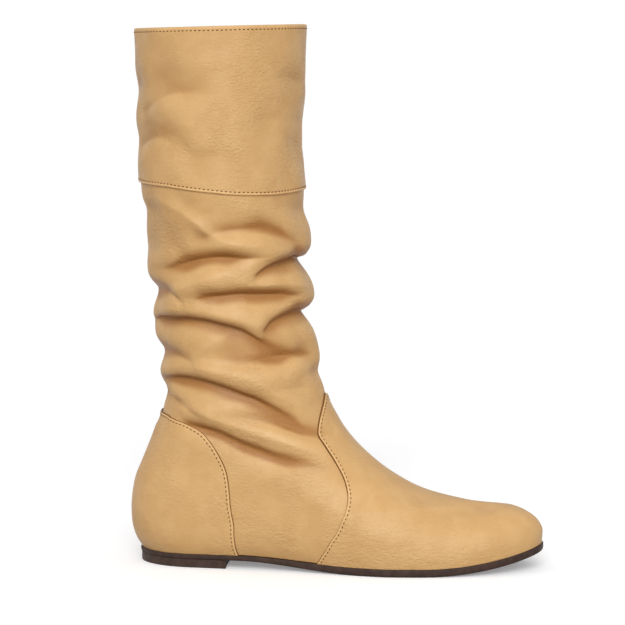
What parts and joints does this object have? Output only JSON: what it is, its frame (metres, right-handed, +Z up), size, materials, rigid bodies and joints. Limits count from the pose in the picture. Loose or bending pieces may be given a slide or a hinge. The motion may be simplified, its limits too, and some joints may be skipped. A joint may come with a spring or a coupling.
{
  "type": "slouch boot",
  "caption": "Pull-on right slouch boot with a softly folded leg, a deep smooth cuff, a vamp peak, a back counter, a round toe and a thin sole with a low heel.",
  "frame": {"origin": "on the floor, under the middle of the boot's box", "axes": "+X from the heel towards the toe, +Y towards the medial side of this right boot, +Z up; the lateral side faces -Y"},
  "size_m": [0.2712, 0.1076, 0.35],
  "materials": {
    "leather": "smooth camel leather, semi-matte",
    "lining": "plain matte lining",
    "sole": "dark brown, matte"
  },
  "bodies": {
    "root": {"upper": "leather", "vamp": "leather", "back_counter": "leather", "cuff": "leather", "insole": "lining", "outsole": "sole", "heel": "sole"}
  },
  "joints": []
}
